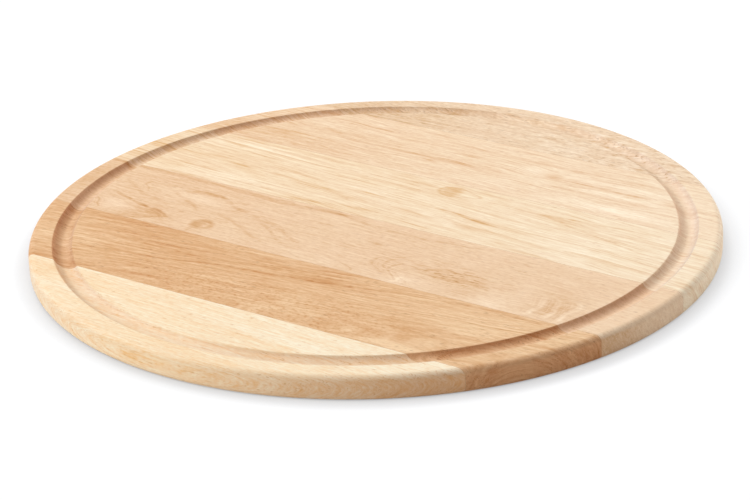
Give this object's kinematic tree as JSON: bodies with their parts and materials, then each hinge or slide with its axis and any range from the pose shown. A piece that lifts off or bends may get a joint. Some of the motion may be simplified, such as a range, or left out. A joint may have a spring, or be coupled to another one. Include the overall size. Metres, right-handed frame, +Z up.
{
  "type": "pizza board",
  "caption": "Round wooden pizza and serving board: edge-glued staves turned to a flat disc with rounded edges and a juice groove just inside the rim.",
  "frame": {"origin": "centre of the flat underside, on the surface the board lies on", "axes": "+Z up through the thickness, +X along the grain of the staves, +Y across the staves from the front one to the back one"},
  "size_m": [0.35, 0.35, 0.012],
  "materials": {
    "wood_cream": "pale cream hardwood, fine-sanded and lightly oiled, with short brown pores",
    "wood_brown": "tan-brown hardwood, fine-sanded and lightly oiled, streaked and flecked",
    "wood_rose": "pinkish-tan hardwood, fine-sanded and lightly oiled, with cathedral figure and small knots",
    "wood_straw": "pale straw hardwood, fine-sanded and lightly oiled, straight grain and one small knot",
    "wood_honey": "light honey hardwood, fine-sanded and lightly oiled, straight grain",
    "wood_tan": "light tan hardwood, fine-sanded and lightly oiled, with dark pore flecks",
    "glue": "cured wood glue, sanded flush, a hairline at each joint"
  },
  "bodies": {
    "root": {"stave_front_3": "wood_cream", "stave_front_2": "wood_brown", "stave_front_1": "wood_rose", "stave_back_1": "wood_straw", "stave_back_2": "wood_honey", "stave_back_3": "wood_tan", "glue_line_front_2": "glue", "glue_line_front_1": "glue", "glue_line_middle": "glue", "glue_line_back_1": "glue", "glue_line_back_2": "glue"}
  },
  "joints": []
}
